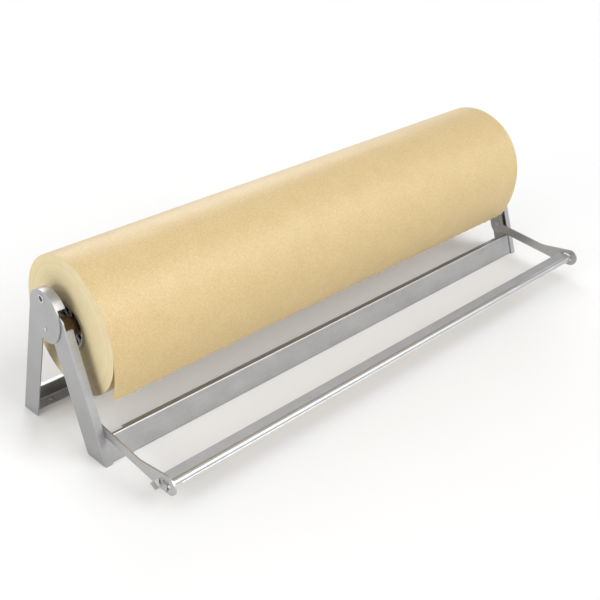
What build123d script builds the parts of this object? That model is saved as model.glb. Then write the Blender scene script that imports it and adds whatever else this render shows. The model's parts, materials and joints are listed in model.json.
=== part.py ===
from build123d import *
import os
from math import asin, atan2, cos, degrees, hypot, radians, sin

os.makedirs("parts", exist_ok=True)

# Counter-top dispenser and cutter for a wide roll of kraft paper. Millimetres.
# X runs along the roll, Y points to the rear and Z up. The origin is the middle of the four
# mounting holes, on the plane that the frame stands on.

# ---------------------------------------------------------------- driving dimensions
# Paper
roll_length = 914.4
roll_radius = 105.0
roll_end_gap = 31.0             # from a roll's end to the frame's outer face
core_bore_radius = 32.0
core_wall = 5.0
paper_lap = 0.5                 # thickness of the loose outer lap and its hanging tail
lap_start_angle = 115.0         # where the outer lap begins, seen from the left end
tail_curl_radius = 200.0        # of the tail, which keeps some of the roll's curl
tail_curl_angle = 25.5          # that it turns through down to its torn edge

# End frames
base_depth = 216.2
steel = 1.8                     # sheet of the legs and rails
edge_flange = 14.0              # turned edge of the legs, from the frame's outer face
bend_radius = 1.5
front_leg_width = 43.0
rear_leg_width = 36.4
axis_height = 174.6             # roll's axis above the counter
axis_set_forward = 8.2          # roll's axis ahead of the middle of the base
head_rise = 27.4                # head's centre above the roll's axis
head_set_back = 6.0             # head's centre behind the roll's axis
head_radius = 37.5
lobe_radius = 35.0              # rounded lower end of the head
lobe_drop = 9.0
lobe_set_back = 2.2
rim_end_angle = 152.0           # where the head's rim stops, above the loading window
window_offset = 4.5             # front leg's front edge outside the head's radius
front_flange_top = 193.0
leg_top_inset = 3.0             # front leg's round top inside the head's outline
leg_corner = 6.0
eyelet_rise = 51.5              # eyelet above the roll's axis
eyelet_set_back = 8.5
eyelet_bore_radius = 4.3
eyelet_wall = 0.8
eyelet_lip = 1.5
rivet_radius = 2.0
rivet_rise = 4.2
rivet_set_back = 9.4
rivet_head_radius = 3.0
rivet_head_height = 0.7

# Rails
rail_height = 37.8
rail_foot = 23.0
rail_lip = 9.0
rail_lip_narrow = 4.0
rail_inner_radius = 0.6
lip_notch_from_frame = 48.0     # where the front rail's lip narrows, from the frame's outer face
lip_end_from_frame = 20.0
rear_notch_drop = 3.0
mount_hole_radius = 4.2
mount_hole_from_frame = 38.2
mount_hole_row = 94.0           # hole rows ahead of and behind the origin

# Roll's axle
axle_radius = 6.35
axle_end_gap = 2.6              # axle's end short of the front leg's web
running_clearance = 0.05        # radial, between a turning piece and its shaft
seat_clearance = 0.3            # radial, between the axle and its saddle
hub_radius = 16.0
hub_spigot_radius = 12.0
hub_spigot_length = 28.0
hub_length = 12.8
collar_radius = 10.0
collar_length = 3.2
collar_gap = 0.3
plug_rim_length = 26.0
plug_steel = 1.6
plug_recess = 5.0
plug_ribs = 10
plug_slot_radius = 3.6
saddle_thickness = 8.0
saddle_seat_wall = 7.5
saddle_top_radius = 9.0
load_angle = 137.0              # direction in which the axle lifts out, from +Y

# Cutter
arm_steel = 2.4
arm_gap = 0.6                   # between an arm and the leg's flange
arm_droop = 8.0                 # arm below level at rest
arm_width = 15.7
arm_below_pivot = 12.5
pivot_height = 54.6
pivot_behind_flange = 20.6      # measured level, from the front leg's front edge
tail_plate_length = 30.0
tail_plate_radius = 14.5
paddle_reach = 166.8
paddle_rise = 4.5
paddle_radius = 14.8
paddle_start = 105.0
arm_inner_corner = 4.0
journal_radius = 3.2
shoulder_radius = 5.0
cap_radius = 4.8
cap_thickness = 1.8
spring_wire_radius = 1.1
spring_mean_radius = 7.4
spring_pitch = 2.5
spring_turns = 3.0
spring_leg = 24.0
spring_leg_lean = 20.0          # of the upper leg, forward of the pivot plate's own line

# Cutter bar, measured in the arm's own directions: reach along the arm and rise across it
bar_steel = 1.2
bar_reach = 147.6
bar_rise = 8.7
bar_slope = 7.2                 # bar's top below the arm's own direction
bar_top_width = 15.0
bar_bead_width = 9.0
bar_bead_height = 2.6
bar_skirt = 15.0
bar_end_gap = 0.3
blade_steel = 0.8
blade_width = 19.0
blade_overhang = 2.0
blade_bevel = 0.5
skirt_tab_width = 8.6           # tab through the narrow slot, at the arm
skirt_tab_flare = 12.0          # its width outside the arm
skirt_tab_drop = 5.0            # how far it turns down outside the arm
skirt_tab_lean = 17.0           # its front edge below the arm's own direction
top_tab_start = 8.4             # tab through the window, from the bar's rear edge
top_tab_width = 11.0
tab_reach = 9.4
tab_clearance = 0.4
window_low = -3.0
window_high = 10.0
window_start = 151.5
window_end = 171.0

# ---------------------------------------------------------------- places worked out from them
outer_face = roll_length / 2 + roll_end_gap
head_web = outer_face - steel           # inner face of the rear leg, outer face of the front leg
leg_web = head_web - steel              # inner face of the front leg
flange_edge = outer_face - edge_flange
roll_end = roll_length / 2
axis_y = -axis_set_forward
head_y = axis_y + head_set_back
head_z = axis_height + head_rise
eyelet_at = (axis_y + eyelet_set_back, axis_height + eyelet_rise)
rivet_at = (axis_y + rivet_set_back, axis_height + rivet_rise)
margin = 40.0                           # how far cutting outlines run past the sheet


def outline(*corners):
    """Straight-sided outline, whichever way round its corners are given."""
    nexts = corners[1:] + corners[:1]
    turn = sum(a[0] * b[1] - b[0] * a[1] for a, b in zip(corners, nexts))
    return Polygon(*(corners if turn > 0 else corners[::-1]), align=None)


def edge_line(foot_y, radius):
    """Outer edge of a leg: its foot, the way up it, and the way across to the other leg.
    It rises from the counter and passes the head's centre at the given radius."""
    reach = head_y - foot_y
    side = 1 if reach > 0 else -1
    lean = atan2(head_z, reach) + side * asin(radius / hypot(reach, head_z))
    up = (cos(lean), sin(lean))
    across = (side * up[1], -side * up[0])
    return (foot_y, 0.0), up, across


def on_edge(line, height, inset):
    """Point at a height above the counter, inset from a leg's outer edge."""
    foot, up, across = line
    along = (height - inset * across[1]) / up[1]
    return (foot[0] + along * up[0] + inset * across[0], height)


def strip(line, low, high, near, far):
    """Outline between two heights and two insets from a leg's outer edge."""
    corners = [on_edge(line, low, near), on_edge(line, high, near)]
    corners += [on_edge(line, high, far), on_edge(line, low, far)]
    return outline(*corners)


def disc(centre, radius):
    """Round outline at a place in the (Y, Z) plane."""
    return Pos(*centre) * Circle(radius)


def hull_of(*outlines):
    """Tight outline around several others."""
    edges = [edge for outline in outlines for edge in outline.edges()]
    return Sketch() + make_hull(edges)


def plate(shape, x_low, x_high):
    """Solid from an outline in (Y, Z), between two places along X."""
    return extrude(Plane.YZ.offset(x_low) * shape, amount=x_high - x_low)


def rod(centre, radius, x_low, x_high):
    """Cylinder along X."""
    return plate(disc(centre, radius), x_low, x_high)


def tube(centre, bore, radius, x_low, x_high):
    """Hollow cylinder along X."""
    return rod(centre, radius, x_low, x_high) - rod(centre, bore, x_low - 1, x_high + 1)


def nearest_edge(solid, place):
    """The edge that passes closest to a place."""
    return min(solid.edges(), key=lambda edge: edge.distance_to(Vertex(*place)))


def rounded(shape, point, radius):
    """The outline with its corner nearest to a point rounded."""
    corner = min(shape.vertices(), key=lambda v: hypot(v.X - point[0], v.Y - point[1]))
    return fillet(corner, radius)


def both_sides(right):
    """A right-hand piece and its left-hand mirror image."""
    return {"right": right, "left": mirror(right, about=Plane.YZ)}


front_edge = edge_line(-base_depth / 2, head_radius + window_offset)
rear_edge = edge_line(base_depth / 2, head_radius)
above_counter = Pos(0, head_z) * Rectangle(2 * base_depth, 2 * head_z)
axle_at = (axis_y, axis_height)
head_at = (head_y, head_z)


# ---------------------------------------------------------------- legs
def make_front_leg():
    """Leg that leans back: its flange faces the front and its round top lies under the head."""
    top = head_z + lobe_drop
    web = strip(front_edge, -margin, top, 0, front_leg_width)
    web = rounded(web, on_edge(front_edge, top, 0), head_radius / 3)
    web += disc(head_at, head_radius - leg_top_inset)
    web &= above_counter
    web = rounded(web, on_edge(front_edge, 0, front_leg_width), leg_corner)
    web -= disc(eyelet_at, eyelet_bore_radius + eyelet_wall + running_clearance)
    web -= disc(rivet_at, rivet_radius + running_clearance)
    turned = strip(front_edge, -margin, front_flange_top, 0, steel) & above_counter
    leg = plate(web, leg_web, head_web) + plate(turned, flange_edge, head_web)
    bend = on_edge(front_edge, front_flange_top / 2, 0)
    leg = fillet(nearest_edge(leg, (head_web, *bend)), bend_radius)
    for height, radius in ((0, leg_corner / 2), (front_flange_top, bend_radius)):
        corner = on_edge(front_edge, height, steel / 2)
        leg = fillet(nearest_edge(leg, (flange_edge, *corner)), radius)
    return leg


def make_rear_leg():
    """Leg that leans forward, with the head and its rim in one piece."""
    lobe_at = (head_y + lobe_set_back, head_z - lobe_drop)
    head = hull_of(disc(head_at, head_radius), disc(lobe_at, lobe_radius))
    whole = head + strip(rear_edge, -margin, head_z, 0, rear_leg_width)
    band = whole - offset(whole, -steel)
    end = radians(rim_end_angle)
    far = 3 * head_radius
    rim_end = (head_y + far * cos(end), head_z + far * sin(end))
    middle = on_edge(rear_edge, -2 * margin, rear_leg_width / 2)
    turned = outline(
        head_at, rim_end, (rim_end[0], head_z + far), (base_depth, head_z + far),
        (base_depth, -2 * margin), middle,
    )
    band = band & turned & above_counter
    web = whole & above_counter
    web = rounded(web, on_edge(rear_edge, 0, rear_leg_width), leg_corner / 2)
    web -= disc(eyelet_at, eyelet_bore_radius + eyelet_wall + running_clearance)
    web -= disc(rivet_at, rivet_radius + running_clearance)
    leg = plate(web, head_web, outer_face) + plate(band, flange_edge, outer_face)
    straight = on_edge(rear_edge, head_z / 2, 0)
    leg = fillet(nearest_edge(leg, (outer_face, *straight)), bend_radius)
    foot = on_edge(rear_edge, 0, steel / 2)
    return fillet(nearest_edge(leg, (flange_edge, *foot)), leg_corner / 2)


# ---------------------------------------------------------------- rails
def rail_outline(line, side):
    """Folded section of a rail that lies behind a leg's flange: foot, face and lip."""
    bottom = on_edge(line, 0, steel)
    top = on_edge(line, rail_height, steel)
    path = FilletPolyline(
        (bottom[0] + side * rail_foot, 0), bottom, top, (top[0] + side * rail_lip, rail_height),
        radius=rail_inner_radius + steel,
    )
    inside = Side.RIGHT if side > 0 else Side.LEFT
    return make_face(offset(path, steel, side=inside).edges())


def make_rail(line, side, notched):
    """Rail between the end frames, with two mounting holes in its foot."""
    rail = plate(rail_outline(line, side), -leg_web, leg_web)
    hole_x = outer_face - mount_hole_from_frame
    top = on_edge(line, rail_height, steel)[0]
    for x in (-hole_x, hole_x):
        rail -= Pos(x, -side * mount_hole_row, 0) * Cylinder(mount_hole_radius, 4 * steel)
    for end in (-1, 1):
        narrow = outer_face - lip_notch_from_frame
        gone = outer_face - lip_end_from_frame
        lip_cut = rail_lip + steel
        if notched:
            rail -= Pos(end * (narrow + margin), top + side * (rail_lip_narrow + lip_cut / 2),
                        rail_height) * Box(2 * margin, lip_cut, 4 * steel)
            rail -= Pos(end * (gone + margin), top + side * (steel + lip_cut / 2),
                        rail_height) * Box(2 * margin, lip_cut, 4 * steel)
        else:
            rail -= Pos(end * (gone + margin), top + side * lip_cut / 2,
                        rail_height) * Box(2 * margin, 2 * lip_cut, 2 * rear_notch_drop)
    return rail


# ---------------------------------------------------------------- fixings of the head
def make_eyelet():
    """Hollow rivet that holds the head, the front leg's top and the saddle together."""
    outside = eyelet_bore_radius + eyelet_wall
    inner_end = leg_web - saddle_thickness
    eyelet = tube(eyelet_at, eyelet_bore_radius, outside, inner_end, outer_face)
    lip = outside + eyelet_lip
    eyelet += tube(eyelet_at, eyelet_bore_radius, lip, outer_face, outer_face + eyelet_wall)
    eyelet += tube(eyelet_at, eyelet_bore_radius, lip, inner_end - eyelet_wall, inner_end)
    return fillet(nearest_edge(eyelet, (outer_face + eyelet_wall, eyelet_at[0] - lip, eyelet_at[1])),
                  eyelet_wall / 2)


def make_rivet():
    """Small solid rivet through the same three pieces."""
    inner_end = leg_web - saddle_thickness
    rivet = rod(rivet_at, rivet_radius, inner_end, outer_face)
    rivet += rod(rivet_at, rivet_head_radius, outer_face, outer_face + rivet_head_height)
    rivet += rod(rivet_at, rivet_head_radius, inner_end - rivet_head_height, inner_end)
    return rivet


def make_saddle():
    """Block in the head with the slanted slot that the axle drops into."""
    seat = axle_radius + seat_clearance
    block = hull_of(disc(axle_at, seat + saddle_seat_wall), disc(eyelet_at, saddle_top_radius))
    way = radians(load_angle)
    reach = 2 * head_radius
    mouth = (axis_y + reach * cos(way), axis_height + reach * sin(way))
    block -= hull_of(disc(axle_at, seat), disc(mouth, seat))
    block -= disc(eyelet_at, eyelet_bore_radius + eyelet_wall + running_clearance)
    block -= disc(rivet_at, rivet_radius + running_clearance)
    return plate(block, leg_web - saddle_thickness, leg_web)


# ---------------------------------------------------------------- roll and its axle
def make_axle():
    """Steel rod through the roll."""
    end = leg_web - axle_end_gap
    axle = rod(axle_at, axle_radius, -end, end)
    return chamfer(axle.edges(), axle_radius / 8)


def make_collar():
    """Push-on ring that keeps the hub on the axle."""
    start = roll_end + hub_length + collar_gap
    return tube(axle_at, axle_radius, collar_radius, start, start + collar_length)


def make_hub():
    """Turned wooden hub, its spigot in the plug and its head against the roll's end."""
    hub = rod(axle_at, hub_radius, roll_end, roll_end + hub_length)
    hub = chamfer(hub.edges().sort_by(Axis.X)[-1], hub_radius / 16)
    hub += rod(axle_at, hub_spigot_radius, roll_end - hub_spigot_length, roll_end)
    return hub - rod(axle_at, axle_radius + running_clearance, 0, 2 * outer_face)


def make_plug():
    """Pressed steel plug in the core's mouth: rim, ribbed face and collar."""
    face = roll_end - plug_recess
    rim = core_bore_radius - running_clearance
    plug = tube(axle_at, rim - plug_steel, rim, face - plug_rim_length, roll_end)
    collar_bore = hub_spigot_radius + running_clearance
    plug += tube(axle_at, collar_bore, rim, face - plug_steel, face)
    plug += tube(axle_at, collar_bore, collar_bore + plug_steel, face - plug_rim_length, face)
    mean = (collar_bore + plug_steel + rim - plug_steel) / 2
    opening = SlotCenterToCenter(mean / 4, 2 * plug_slot_radius)
    windows = PolarLocations(mean, plug_ribs) * opening
    windows = Sketch() + [window.moved(Location((*axle_at, 0))) for window in windows]
    return plug - plate(windows, face - 2 * plug_steel, roll_end)


def make_tail():
    """Outer lap of paper, free of the roll, and the torn tail that curls down from its front."""
    start, curl = radians(lap_start_angle), radians(tail_curl_angle)
    inside = roll_radius + running_clearance
    far = 2 * roll_radius
    lap = disc(axle_at, inside + paper_lap) - disc(axle_at, inside)
    lap &= outline(axle_at, (axis_y + far * cos(start), axis_height + far * sin(start)),
                   (axis_y - far, axis_height + far), (axis_y - far, axis_height))
    middle = (axis_y - inside + tail_curl_radius, axis_height)
    tail = disc(middle, tail_curl_radius + paper_lap) - disc(middle, tail_curl_radius)
    reach = 2 * tail_curl_radius
    tail &= outline(middle, (middle[0] - reach, axis_height),
                    (middle[0] - reach * cos(curl), axis_height - reach * sin(curl)))
    return plate(lap, -roll_end, roll_end) + plate(tail, -roll_end, roll_end)


# ---------------------------------------------------------------- cutter
pivot_at = (on_edge(front_edge, pivot_height, 0)[0] + pivot_behind_flange, pivot_height)
arm_outer = flange_edge - arm_gap
arm_inner = arm_outer - arm_steel
droop = radians(arm_droop)
bar_tilt = radians(arm_droop + bar_slope)


def on_arm(reach, rise):
    """Point by its reach along the right arm and its rise across it."""
    return (pivot_at[0] - reach * cos(droop) - rise * sin(droop),
            pivot_at[1] - reach * sin(droop) + rise * cos(droop))


def on_bar(out, rise):
    """Point by its distance from the bar's rear edge and its rise above the bar's flat top."""
    corner = on_arm(bar_reach, bar_rise)
    return (corner[0] - out * cos(bar_tilt) - rise * sin(bar_tilt),
            corner[1] - out * sin(bar_tilt) + rise * cos(bar_tilt))


def bar_block(out_low, out_high, rise_low, rise_high):
    """Rectangle in the bar's own directions."""
    corners = [(out_low, rise_low), (out_high, rise_low), (out_high, rise_high), (out_low, rise_high)]
    return outline(*[on_bar(*corner) for corner in corners])


skirt_tab_low = -bar_skirt + tab_clearance
skirt_tab_high = skirt_tab_low + skirt_tab_width


def make_arm():
    """Flat arm: pivot plate, straight strip and round-ended paddle with the bar's two slots."""
    up = front_edge[1]
    foot = (pivot_at[0], pivot_at[1] - arm_below_pivot / 3)
    head = (foot[0] + tail_plate_length * up[0], foot[1] + tail_plate_length * up[1])
    flat = hull_of(disc(foot, tail_plate_radius), disc(head, tail_plate_radius))
    high = arm_width - arm_below_pivot
    beam = [(0, -arm_below_pivot), (paddle_reach - paddle_radius, -arm_below_pivot)]
    beam += [(paddle_start, high), (0, high)]
    flat += outline(*[on_arm(*point) for point in beam])
    root = beam[1:3] + [(paddle_start, -arm_below_pivot)]
    root = outline(*[on_arm(*point) for point in root])
    flat += hull_of(root, disc(on_arm(paddle_reach, paddle_rise), paddle_radius))
    flat = rounded(flat, on_arm(paddle_start, high), paddle_start / 2)
    flat = rounded(flat, on_arm(tail_plate_radius, high), arm_inner_corner)
    flat -= disc(pivot_at, journal_radius + running_clearance)
    slot_edge = bar_block(-tab_clearance, bar_steel + tab_clearance,
                          skirt_tab_low - tab_clearance, skirt_tab_high + tab_clearance)
    window_radius = (window_high - window_low) / 2
    window_rise = (window_high + window_low) / 2
    window = hull_of(disc(on_arm(window_start + window_radius, window_rise), window_radius),
                     disc(on_arm(window_end - window_radius, window_rise), window_radius))
    return plate(flat - slot_edge - window, arm_inner, arm_outer)


def make_stud():
    """Shouldered stud on the inside of the front leg, on which an arm turns."""
    stud = rod(pivot_at, shoulder_radius, arm_outer + arm_gap / 2, leg_web)
    return stud + rod(pivot_at, journal_radius, arm_inner - arm_gap - cap_thickness, leg_web)


def make_cap():
    """Push-on cap that keeps an arm on its stud."""
    outer = arm_inner - arm_gap / 2
    cap = tube(pivot_at, journal_radius + running_clearance, cap_radius, outer - cap_thickness, outer)
    rim = nearest_edge(cap, (outer - cap_thickness, pivot_at[0] - cap_radius, pivot_at[1]))
    return fillet(rim, cap_thickness / 3)


def make_spring():
    """Torsion spring on the stud: one leg up past the pivot plate's front edge, a short one down."""
    start = arm_outer + arm_gap / 2 + spring_wire_radius
    forward = (0, -front_edge[2][0], -front_edge[2][1])
    seat = Plane(origin=(start, *pivot_at), x_dir=forward, z_dir=(1, 0, 0))
    coil = Helix(spring_pitch, spring_turns * spring_pitch, spring_mean_radius)
    spring = seat * sweep(Plane(coil @ 0, z_dir=coil % 0) * Circle(spring_wire_radius), path=coil)
    lean = radians(spring_leg_lean)
    ends = [(0, spring_leg, (sin(lean), -cos(lean), 0)),
            (spring_turns * spring_pitch, spring_mean_radius, (0, 1, 0))]
    for along, length, way in ends:
        place = seat * Plane(origin=(spring_mean_radius, 0, along), z_dir=way)
        spring += place * Sphere(spring_wire_radius + running_clearance)
        leg = Cylinder(spring_wire_radius, length, align=(Align.CENTER, Align.CENTER, Align.MIN))
        spring += place * leg
    return spring


def bar_outline():
    """Section of the cutter bar: skirt, flat top and the raised bead along its front."""
    bead = (bar_bead_width ** 2 / 4 + bar_bead_height ** 2) / (2 * bar_bead_height)
    centre = on_bar(bar_top_width + bar_bead_width / 2, bar_bead_height - bead)
    ring = disc(centre, bead) - disc(centre, bead - bar_steel)
    reach = bar_top_width + bar_bead_width + bead
    ring &= bar_block(bar_top_width, reach, -bar_steel, bead)
    return ring + bar_block(0, bar_top_width + bar_steel, -bar_steel, 0) + bar_block(0, bar_steel, -bar_skirt, 0)


def make_bar():
    """Folded bar between the arms, with the tabs that hold it in them."""
    end = arm_inner - bar_end_gap
    bar = plate(bar_outline(), -end, end)
    skirt_tab = bar_block(0, bar_steel, skirt_tab_low, skirt_tab_high)
    middle = on_bar(bar_steel, (skirt_tab_low + skirt_tab_high) / 2 - skirt_tab_drop)
    lean = droop + radians(skirt_tab_lean)
    level = Pos(*middle) * Rot(0, 0, degrees(lean)) * Rectangle(skirt_tab_flare, bar_steel)
    bent_low = arm_outer + tab_clearance
    flare_end = bent_low + tab_reach / 3
    twist = [(Plane.YZ.offset(bent_low) * skirt_tab).face(), (Plane.YZ.offset(flare_end) * level).face()]
    right = plate(skirt_tab, end, bent_low) + loft(twist, ruled=True)
    right += plate(level, flare_end, bent_low + tab_reach)
    top_tab_end = top_tab_start + top_tab_width
    top_tab = bar_block(top_tab_start, top_tab_end, -2 * bar_steel, -bar_steel)
    bent = bar_block(top_tab_start, top_tab_end, -bar_skirt, -bar_steel)
    right += plate(top_tab, end - bar_skirt, bent_low + bar_steel)
    right += plate(bent, bent_low, bent_low + bar_steel)
    return bar + right + mirror(right, about=Plane.YZ)


def make_blade():
    """Thin strip under the bar, its ground edge just ahead of the bead."""
    end = arm_inner - bar_skirt - 2 * bar_end_gap
    tip = bar_top_width + bar_bead_width + blade_overhang
    strip_section = bar_block(tip - blade_width, tip, -bar_steel - blade_steel, -bar_steel)
    strip_section = chamfer(strip_section.vertices().sort_by_distance((*on_bar(tip, -bar_steel), 0))[0],
                            blade_bevel)
    return plate(strip_section, -end, end)


# ---------------------------------------------------------------- all the pieces
pieces = {
    "front_rail": make_rail(front_edge, 1, True),
    "rear_rail": make_rail(rear_edge, -1, False),
    "axle_rod": make_axle(),
    "cardboard_core": tube(axle_at, core_bore_radius, core_bore_radius + core_wall, -roll_end, roll_end),
    "paper_roll": tube(axle_at, core_bore_radius + core_wall + running_clearance, roll_radius,
                       -roll_end, roll_end),
    "paper_tail": make_tail(),
    "cutter_bar": make_bar(),
    "cutter_blade": make_blade(),
}
paired = {
    "front_leg": make_front_leg(),
    "rear_leg": make_rear_leg(),
    "head_eyelet": make_eyelet(),
    "head_rivet": make_rivet(),
    "axle_saddle": make_saddle(),
    "axle_collar": make_collar(),
    "wooden_hub": make_hub(),
    "core_plug": make_plug(),
    "cutter_arm": make_arm(),
    "arm_stud": make_stud(),
    "arm_cap": make_cap(),
    "arm_spring": make_spring(),
}
for name, right_piece in paired.items():
    for side_name, piece in both_sides(right_piece).items():
        pieces[name + "_" + side_name] = piece

for name, piece in pieces.items():
    export_step(piece, "parts/" + name + ".step")
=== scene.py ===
import bpy
import json
import random
from math import cos, pi, radians, sin
from mathutils import Matrix, Vector, noise


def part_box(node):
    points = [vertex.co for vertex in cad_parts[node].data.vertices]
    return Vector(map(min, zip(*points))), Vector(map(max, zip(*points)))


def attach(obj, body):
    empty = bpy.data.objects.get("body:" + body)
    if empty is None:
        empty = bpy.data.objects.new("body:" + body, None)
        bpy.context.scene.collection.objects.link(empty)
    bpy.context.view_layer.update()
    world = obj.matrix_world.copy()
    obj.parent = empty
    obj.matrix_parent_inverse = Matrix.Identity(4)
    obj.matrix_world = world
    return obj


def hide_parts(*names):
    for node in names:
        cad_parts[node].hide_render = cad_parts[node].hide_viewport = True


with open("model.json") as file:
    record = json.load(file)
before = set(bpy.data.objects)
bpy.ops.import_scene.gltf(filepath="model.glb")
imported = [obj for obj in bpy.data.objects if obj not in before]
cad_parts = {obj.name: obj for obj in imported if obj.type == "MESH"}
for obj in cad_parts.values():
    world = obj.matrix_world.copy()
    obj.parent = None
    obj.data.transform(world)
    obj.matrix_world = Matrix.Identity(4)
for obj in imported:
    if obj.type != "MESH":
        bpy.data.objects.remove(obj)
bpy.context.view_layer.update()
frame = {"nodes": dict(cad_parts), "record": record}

nodes = frame["nodes"]

# Sizes read from the frame: the roll's axis, radius and half length, in metres.
roll_low, roll_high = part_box("paper_roll")
axis_y = (roll_low.y + roll_high.y) / 2
axis_z = (roll_low.z + roll_high.z) / 2
roll_radius = (roll_high.z - roll_low.z) / 2
half_length = roll_high.x
core_radius = (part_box("cardboard_core")[1].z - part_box("cardboard_core")[0].z) / 2


# ---------------------------------------------------------------- shader sums
class Value:
    """One socket in a material, so that a sum of masks reads as a sum."""

    def __init__(self, tree, socket):
        self.tree = tree
        self.socket = socket

    def add(self, kind, settings=None, out=0, **inputs):
        """Any node, with its settings set first, then its sockets. Returns one of its outputs."""
        node = self.tree.nodes.new(kind)
        for name, value in (settings or {}).items():
            if name == "stops":
                fill_ramp(node.color_ramp, value)
            else:
                setattr(node, name, value)
        for name, value in inputs.items():
            key = int(name[1:]) if name[0] == "i" and name[1:].isdigit() else name.replace("_", " ")
            if isinstance(value, Value):
                self.tree.links.new(value.socket, node.inputs[key])
            else:
                node.inputs[key].default_value = value
        return Value(self.tree, node.outputs[out])

    def maths(self, operation, first, second=0.0):
        return self.add("ShaderNodeMath", {"operation": operation}, i0=first, i1=second)

    def __add__(self, other):
        return self.maths("ADD", self, other)

    __radd__ = __add__

    def __mul__(self, other):
        return self.maths("MULTIPLY", self, other)

    __rmul__ = __mul__

    def __sub__(self, other):
        return self.maths("SUBTRACT", self, other)

    def __rsub__(self, other):
        return self.maths("SUBTRACT", other, self)

    def __pow__(self, power):
        return self.maths("POWER", self, power)

    def noise(self, scale, detail=3.0, roughness=0.55):
        return self.add("ShaderNodeTexNoise", i0=self, Scale=scale, Detail=detail, Roughness=roughness)

    def stretched(self, *factors):
        return self.add("ShaderNodeMapping", Vector=self, Scale=factors)

    def ramp(self, *stops):
        return self.add("ShaderNodeValToRGB", {"stops": stops}, i0=self)


def fill_ramp(ramp, stops):
    """Sets a ramp's stops, each a place and a grey level or a colour."""
    while len(ramp.elements) < len(stops):
        ramp.elements.new(1.0)
    for element, (place, colour) in zip(ramp.elements, stops):
        element.position = place
        element.color = (*colour, 1.0) if hasattr(colour, "__len__") else (colour, colour, colour, 1.0)


def new_finish(name, **constants):
    """A material with its constants on the shader. Returns it, its coordinates and a connector."""
    material = bpy.data.materials.new(name)
    material.use_nodes = True
    tree = material.node_tree
    shader = tree.nodes["Principled BSDF"]
    for key, value in constants.items():
        shader.inputs[key.replace("_", " ")].default_value = value
    coordinates = Value(tree, tree.nodes.new("ShaderNodeTexCoord").outputs["Object"])

    def connect(**links):
        for key, value in links.items():
            tree.links.new(value.socket, shader.inputs[key.replace("_", " ")])

    return material, coordinates, connect


def between(mask, low, high):
    """A colour between two others, or between a linked colour and another."""
    return mask.add("ShaderNodeMix", {"data_type": "RGBA"}, out=2, i0=mask,
                    **{"i6": low if isinstance(low, Value) else (*low, 1.0),
                       "i7": high if isinstance(high, Value) else (*high, 1.0)})


def bumped(height, strength, distance):
    return height.add("ShaderNodeBump", Height=height, Strength=strength, Distance=distance)


# ---------------------------------------------------------------- finishes
def silver_paint(name, colour, shade, gloss):
    """Silver-grey stoved paint on sheet steel: fine flake, orange peel, faint mill lines and marks."""
    material, place, connect = new_finish(name, Metallic=0.90, Specular_IOR_Level=0.5)
    flake = place.noise(2300.0, 2.0, 0.6)
    peel = place.noise(620.0, 3.0)
    cloud = place.noise(26.0, 5.0, 0.6)
    lines = place.stretched(35.0, 900.0, 260.0).noise(1.0, 3.0)
    tone = flake * 0.55 + cloud * 0.30 + lines * 0.15
    connect(
        Base_Color=between(tone.ramp((0.36, 0.0), (0.64, 1.0)), shade, colour),
        Roughness=gloss + 0.16 * cloud + 0.10 * flake,
        Normal=bumped(peel * 0.6 + flake * 0.4, 0.20, 0.0005),
    )
    return material


def kraft_finish(name, light, dark, fleck):
    """Brown kraft paper: short pale and dark fibres, fine pulp grain and a calendered sheen."""
    material, place, connect = new_finish(name, Specular_IOR_Level=0.5, Coat_Weight=0.22,
                                          Coat_Roughness=0.34)
    fibres = place.stretched(420.0, 900.0, 900.0).noise(1.0, 4.0, 0.7)
    pulp = place.noise(330.0, 4.0, 0.7)
    cloud = place.noise(30.0, 3.0, 0.5)
    tone = fibres * 0.46 + pulp * 0.42 + cloud * 0.12
    paper = between(tone.ramp((0.36, 0.0), (0.64, 1.0)), dark, light)
    specks = place.noise(820.0, 2.0, 0.5).ramp((0.66, 0.0), (0.76, 1.0))
    connect(
        Base_Color=between(specks * 0.45, paper, fleck),
        Roughness=0.50 + 0.16 * fibres,
        Normal=bumped(fibres * 0.6 + pulp * 0.4, 0.25, 0.0004),
    )
    return material


def wound_finish(name, light, dark):
    """Cut ends of the wound paper: thin rings about the roll's axis, lighter and darker in groups."""
    material, place, connect = new_finish(name, Specular_IOR_Level=0.15)
    centred = place.add("ShaderNodeMapping", Vector=place, Location=(0.0, -axis_y, -axis_z))
    flat = centred.add("ShaderNodeVectorMath", {"operation": "MULTIPLY"}, i0=centred, i1=(0.0, 1.0, 1.0))
    radius = flat.add("ShaderNodeVectorMath", {"operation": "LENGTH"}, out=1, i0=flat)
    ring = radius.add("ShaderNodeCombineXYZ", X=radius)
    fine = ring.noise(2400.0, 2.0, 0.7)
    groups = ring.noise(210.0, 4.0, 0.6)
    smear = place.noise(60.0, 4.0)
    tone = fine * 0.40 + groups * 0.45 + smear * 0.15
    connect(
        Base_Color=between(tone.ramp((0.34, 0.0), (0.66, 1.0)), dark, light),
        Roughness=0.80 + 0.12 * smear,
        Normal=bumped(fine + groups * 0.5, 0.35, 0.0005),
    )
    return material


def turned_wood(name, light, dark):
    """Dark oiled hub: grain along the spindle, with pores and a waxy patch here and there."""
    material, place, connect = new_finish(name, Specular_IOR_Level=0.4)
    grain = place.stretched(60.0, 700.0, 700.0).noise(1.0, 5.0, 0.65)
    pores = place.stretched(220.0, 2400.0, 2400.0).noise(1.0, 2.0)
    wax = place.noise(120.0, 3.0)
    connect(
        Base_Color=between((grain * 0.7 + pores * 0.3).ramp((0.38, 0.0), (0.62, 1.0)), dark, light),
        Roughness=0.42 + 0.22 * wax,
        Normal=bumped(pores * 0.6 + grain * 0.4, 0.3, 0.0005),
    )
    return material


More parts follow.
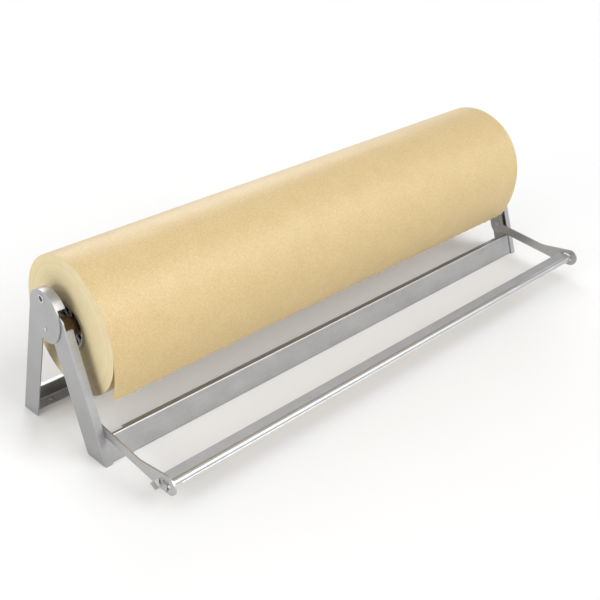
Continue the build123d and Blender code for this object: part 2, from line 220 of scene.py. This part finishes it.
def wound_board(name, light, dark):
    """Grey-brown board of the core, with its spiral seam and recycled specks."""
    material, place, connect = new_finish(name, Specular_IOR_Level=0.2)
    spiral = place.add("ShaderNodeTexWave", {"bands_direction": "DIAGONAL"}, Vector=place, Scale=6.0,
                       Distortion=0.6)
    specks = place.noise(1300.0, 3.0)
    tone = spiral * 0.25 + specks * 0.75
    connect(
        Base_Color=between(tone.ramp((0.35, 0.0), (0.65, 1.0)), dark, light),
        Roughness=0.78 + 0.12 * specks,
        Normal=bumped(specks, 0.3, 0.0004),
    )
    return material


def bare_metal(name, colour, shade, gloss, drawn):
    """Bare or plated metal: drawn or rolled lines along the given stretch, with dull fingermarks."""
    material, place, connect = new_finish(name, Metallic=1.0)
    lines = place.stretched(*drawn).noise(1.0, 3.0, 0.6)
    marks = place.noise(90.0, 4.0)
    connect(
        Base_Color=between((lines * 0.5 + marks * 0.5).ramp((0.35, 0.0), (0.65, 1.0)), shade, colour),
        Roughness=gloss + 0.16 * marks + 0.10 * lines,
        Normal=bumped(lines, 0.12, 0.0003),
    )
    return material


def moulded_nylon(name, colour, shade):
    """Black moulded nylon with a fine spark texture."""
    material, place, connect = new_finish(name, Specular_IOR_Level=0.4)
    spark = place.noise(1500.0, 2.0)
    cloud = place.noise(80.0, 3.0)
    connect(
        Base_Color=between(cloud, shade, colour),
        Roughness=0.46 + 0.18 * cloud,
        Normal=bumped(spark, 0.3, 0.0004),
    )
    return material


grey = silver_paint("silver-grey paint", (0.44, 0.44, 0.442), (0.33, 0.33, 0.332), 0.25)
arm_grey = silver_paint("cutter paint", (0.53, 0.53, 0.532), (0.42, 0.42, 0.422), 0.20)
kraft = kraft_finish("kraft paper", (0.605, 0.46, 0.230), (0.44, 0.32, 0.143), (0.20, 0.125, 0.05))
kraft_ends = wound_finish("wound paper ends", (0.70, 0.60, 0.385), (0.55, 0.45, 0.26))
board = wound_board("core board", (0.52, 0.41, 0.24), (0.38, 0.29, 0.17))
hub_wood = turned_wood("oiled hub wood", (0.22, 0.125, 0.035), (0.09, 0.045, 0.014))
plate_zinc = bare_metal("dull zinc", (0.66, 0.66, 0.67), (0.52, 0.52, 0.54), 0.34,
                        (500.0, 500.0, 500.0))
rod_steel = bare_metal("drawn rod steel", (0.60, 0.60, 0.61), (0.45, 0.45, 0.46), 0.22,
                       (30.0, 1500.0, 1500.0))
plug_steel = bare_metal("pressed steel", (0.50, 0.50, 0.51), (0.34, 0.34, 0.35), 0.16,
                        (700.0, 700.0, 700.0))
wire_steel = bare_metal("spring wire", (0.24, 0.24, 0.25), (0.13, 0.13, 0.14), 0.30,
                        (900.0, 900.0, 900.0))
strip_steel = bare_metal("rolled strip", (0.66, 0.66, 0.67), (0.54, 0.54, 0.55), 0.24,
                         (14.0, 1600.0, 1600.0))
nylon = moulded_nylon("black nylon", (0.022, 0.022, 0.023), (0.012, 0.012, 0.013))

finish_of_slot = {
    "grey_steel": grey, "zinc_plated": plate_zinc, "black_nylon": nylon, "axle_steel": rod_steel,
    "pressed_steel": plug_steel, "turned_wood": hub_wood, "cardboard": board, "kraft_paper": kraft,
    "cutter_steel": arm_grey, "spring_steel": wire_steel, "blade_steel": strip_steel,
}
for entry in frame["record"]["subparts"]:
    mesh = nodes[entry["node"]].data
    mesh.materials.clear()
    mesh.materials.append(finish_of_slot[entry["material_slot"]])


# ---------------------------------------------------------------- paper
def new_piece(name, points, faces, materials, body):
    """A mesh object at the origin that rides on a body."""
    mesh = bpy.data.meshes.new(name)
    mesh.from_pydata(points, [], faces)
    for material in materials:
        mesh.materials.append(material)
    mesh.polygons.foreach_set("use_smooth", [True] * len(mesh.polygons))
    piece = bpy.data.objects.new(name, mesh)
    bpy.context.scene.collection.objects.link(piece)
    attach(piece, body)
    return piece


def wound_roll():
    """The roll of paper: a round skin and two cut ends whose layers stand very slightly in and out."""
    random.seed(11)
    turns, around = 46, 240
    step = (roll_radius - core_radius) / turns
    uneven_layers, wandering = 0.00016, 0.0002
    end_profile = []
    for layer in range(turns):
        inner = core_radius + layer * step
        wander = 0.5 + 0.5 * noise.noise((inner * 130.0, 0.0, 0.0))
        face = half_length - random.uniform(0.0, uneven_layers) - wandering * wander
        end_profile += [(face, inner + step * 0.12), (face, inner + step * 0.90)]
    profile = [(half_length - 0.0012, core_radius)] + end_profile
    profile += [(half_length - 0.0005, roll_radius - 0.0001), (half_length - 0.0016, roll_radius)]
    left = [(-x, r) for x, r in profile]
    bands = [half_length * (2 * i / 40 - 1) for i in range(1, 40)]
    ring = left + [(x, roll_radius) for x in bands] + profile[::-1]
    points = [
        (x, axis_y + r * cos(2 * pi * i / around), axis_z + r * sin(2 * pi * i / around))
        for x, r in ring for i in range(around)
    ]
    faces = []
    for row in range(len(ring)):
        for i in range(around):
            beside = (i + 1) % around
            first, second = row * around, (row + 1) % len(ring) * around
            faces.append((first + i, first + beside, second + beside, second + i))
    piece = new_piece("wound_paper", points, faces, [kraft, kraft_ends], "roll")
    ends = len(profile) - 2
    for polygon in piece.data.polygons:
        row = polygon.index // around
        if row < ends or row > len(ring) - ends - 2:
            polygon.material_index = 1
    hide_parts("paper_roll")
    return piece


def torn_sheet():
    """The outer lap, lifting off the roll at the front, and its curling torn end."""
    start = radians(115.0)
    columns, lap_rows, drop_rows = 640, 40, 26
    radius = roll_radius + 0.0003
    tucked_under = 0.0006
    curl_left, curl_right = 4.05, 6.06
    drop_left, longer_to_right, tear_bow = 0.0821, 0.0140, 0.0024
    fine_tear, coarse_tear, deepest_nick = 0.0012, 0.0022, 0.010
    ripple_height = 0.0012
    points = []
    for row in range(lap_rows + drop_rows + 1):
        for column in range(columns + 1):
            across = column / columns
            x = half_length * (2 * across - 1)
            if row <= lap_rows:
                share = row / lap_rows
                angle = start + (pi - start) * share
                out = radius - tucked_under * (1 - min(1.0, share * 5.0))
                points.append((x, axis_y + out * cos(angle), axis_z + out * sin(angle)))
                continue
            share = (row - lap_rows) / drop_rows
            bend = curl_left + (curl_right - curl_left) * across
            drop = drop_left + longer_to_right * across - tear_bow * sin(pi * across)
            ragged = noise.noise((x * 330.0, 3.0, 0.0)) * fine_tear
            ragged += noise.noise((x * 95.0, 7.0, 0.0)) * coarse_tear
            nick = max(0.0, noise.noise((x * 58.0, 9.0, 0.0)) - 0.16) * deepest_nick
            fall = drop * share + (ragged + nick) * share ** 5
            turned = bend * fall
            ripple = share * share * ripple_height * noise.noise((x * 3.6, 1.0, 0.0))
            y = axis_y - radius + (1 - cos(turned)) / bend + ripple
            z = axis_z - sin(turned) / bend
            points.append((x, y, z))
    faces = []
    width = columns + 1
    for row in range(lap_rows + drop_rows):
        for column in range(columns):
            corner = row * width + column
            faces.append((corner, corner + width, corner + width + 1, corner + 1))
    piece = new_piece("torn_sheet", points, faces, [kraft], "roll")
    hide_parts("paper_tail")
    return piece


# ---------------------------------------------------------------- pieces that repeat
def grown_piece(name, sizes, grow, body, slot):
    """A piece grown by a node tree with named sizes, turned to a plain mesh that rides on a body."""
    tree = bpy.data.node_groups.new(name, "GeometryNodeTree")
    tree.interface.new_socket("Geometry", in_out="OUTPUT", socket_type="NodeSocketGeometry")
    keys = {}
    for label, value in sizes.items():
        kind = {int: "NodeSocketInt", float: "NodeSocketFloat", tuple: "NodeSocketVector"}[type(value)]
        keys[label] = tree.interface.new_socket(label, in_out="INPUT", socket_type=kind).identifier
    entry = tree.nodes.new("NodeGroupInput")
    sockets = {label: Value(tree, entry.outputs[label]) for label in sizes}
    shape = grow(Value(tree, None), sockets)
    shape = shape.add("GeometryNodeRealizeInstances", i0=shape)
    painted = shape.add("GeometryNodeSetMaterial", Geometry=shape, Material=finish_of_slot[slot])
    tree.links.new(painted.socket, tree.nodes.new("NodeGroupOutput").inputs[0])
    seed = bpy.data.objects.new(name + "_seed", bpy.data.meshes.new(name + "_seed"))
    bpy.context.scene.collection.objects.link(seed)
    modifier = seed.modifiers.new(name, "NODES")
    modifier.node_group = tree
    for label, value in sizes.items():
        modifier[keys[label]] = value
    evaluated = seed.evaluated_get(bpy.context.evaluated_depsgraph_get())
    mesh = bpy.data.meshes.new_from_object(evaluated)
    bpy.data.objects.remove(seed)
    mesh.name = name
    piece = bpy.data.objects.new(name, mesh)
    bpy.context.scene.collection.objects.link(piece)
    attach(piece, body)
    return piece


def grow_ribs(start, size):
    """Half-round ribs pressed out of the plug's face, standing round the hub like spokes."""
    far_end = start.add("ShaderNodeCombineXYZ", X=size["rib length"])
    spoke = start.add("GeometryNodeCurvePrimitiveLine", Start=(0.0, 0.0, 0.0), End=far_end)
    wire = start.add("GeometryNodeCurvePrimitiveCircle", Resolution=12, Radius=size["rib half width"])
    rib = start.add("GeometryNodeCurveToMesh", Curve=spoke, Profile_Curve=wire, Fill_Caps=True)
    ring = start.add("GeometryNodeMeshCircle", Vertices=size["ribs"], Radius=size["start radius"])
    outward = start.add("GeometryNodeInputPosition")
    turned = start.add("FunctionNodeAlignRotationToVector", {"axis": "X"}, Vector=outward)
    ribs = start.add("GeometryNodeInstanceOnPoints", Points=ring, Instance=rib, Rotation=turned)
    return start.add("GeometryNodeTransform", Geometry=ribs, Translation=size["middle"],
                     Rotation=(0.0, radians(90.0), 0.0))


wound_roll()
torn_sheet()
plug_recess = 0.005
for side, sign in (("left", -1), ("right", 1)):
    rib_sizes = {"ribs": 10, "start radius": 0.0142, "rib length": 0.0152, "rib half width": 0.0019,
                 "middle": (sign * (half_length - plug_recess), axis_y, axis_z)}
    grown_piece("plug_ribs_" + side, rib_sizes, grow_ribs, "roll", "pressed_steel")

# ---------------------------------------------------------------- floor, light and camera
def round_sweep(around=96):
    """A round studio floor whose rim, far off, turns up into a low wall."""
    sweep = [(0.02, 0.0), (12.0, 0.0), (15.0, 0.25), (17.0, 0.9), (18.5, 2.0), (19.2, 3.4)]
    points = [(out * cos(2 * pi * i / around), out * sin(2 * pi * i / around), rise)
              for out, rise in sweep for i in range(around)]
    edges = [(r * around + i, r * around + (i + 1) % around)
             for r in range(len(sweep) - 1) for i in range(around)]
    faces = [(a + around, b + around, b, a) for a, b in edges] + [tuple(range(around))]
    mesh = bpy.data.meshes.new("floor")
    mesh.from_pydata(points, [], faces)
    mesh.polygons.foreach_set("use_smooth", [True] * len(mesh.polygons))
    paint, place, connect = new_finish("pale floor", Roughness=0.9, Specular_IOR_Level=0.1)
    connect(Base_Color=between(place.noise(3.0), (0.77, 0.77, 0.77), (0.79, 0.79, 0.79)))
    mesh.materials.append(paint)
    floor = bpy.data.objects.new("floor", mesh)
    bpy.context.scene.collection.objects.link(floor)


def hang_lamp(lamp, towards, strength):
    """Puts a lamp in the scene, shining from the given direction."""
    lamp.energy = strength
    holder = bpy.data.objects.new(lamp.name, lamp)
    bpy.context.scene.collection.objects.link(holder)
    holder.rotation_euler = Vector(towards).to_track_quat("Z", "Y").to_euler()
    return holder


def soft_sun(name, towards, spread, strength):
    """Even light over the whole floor, from a direction and as soft as its spread in degrees."""
    lamp = bpy.data.lights.new(name, "SUN")
    lamp.angle = radians(spread)
    hang_lamp(lamp, towards, strength)


def end_panel(place, towards, width, strength):
    """A round soft panel near the left end, which lights that end more than the far one."""
    lamp = bpy.data.lights.new("end panel", "AREA")
    lamp.shape = "DISK"
    lamp.size = width
    holder = hang_lamp(lamp, towards, strength)
    holder.location = place
    holder.visible_camera = False


def studio_sky(strength):
    """Pale light from all round, weak near the floor and full overhead."""
    world = bpy.data.worlds.new("studio")
    world.use_nodes = True
    tree = world.node_tree
    sky = Value(tree, tree.nodes.new("ShaderNodeTexCoord").outputs["Generated"])
    height = sky.add("ShaderNodeSeparateXYZ", out=2, i0=sky)
    glow = height.ramp((0.0, 0.12), (0.35, 0.45), (1.0, 1.0))
    background = tree.nodes["Background"]
    background.inputs["Color"].default_value = (1.0, 1.0, 1.0, 1.0)
    tree.links.new((glow * strength).socket, background.inputs["Strength"])
    bpy.context.scene.world = world


def aim_camera(place, azimuth, elevation, roll_angle, focal_length):
    """The camera at its place, with its angles in degrees and its lens in millimetres."""
    lens = bpy.data.cameras.new("camera")
    lens.sensor_width = 36.0
    lens.lens = focal_length
    camera = bpy.data.objects.new("camera", lens)
    bpy.context.scene.collection.objects.link(camera)
    turn, tilt, roll = radians(azimuth), radians(elevation), radians(roll_angle)
    back = Vector((sin(turn) * cos(tilt), -cos(turn) * cos(tilt), sin(tilt)))
    level = (-back).cross(Vector((0, 0, 1))).normalized()
    upright = level.cross(-back).normalized()
    right = level * cos(roll) + upright * sin(roll)
    above = upright * cos(roll) - level * sin(roll)
    axes = Matrix((right, above, back)).transposed().to_4x4()
    camera.matrix_world = Matrix.Translation(place) @ axes
    bpy.context.scene.camera = camera


round_sweep()
soft_sun("front", (0.45, -1.0, 0.68), 50.0, 2.28)
soft_sun("side", (-1.0, -0.20, 0.45), 50.0, 0.45)
soft_sun("back", (0.50, 0.75, 0.42), 32.0, 1.05)
end_panel((-1.60, -0.25, 0.45), (-1.0, -0.15, 0.28), 0.9, 5.6)
studio_sky(0.95)
bpy.context.scene.view_settings.view_transform = "Standard"
aim_camera((-1.0279, -1.06624, 0.83444), -43.759, 28.307, -0.8145, 57.862)
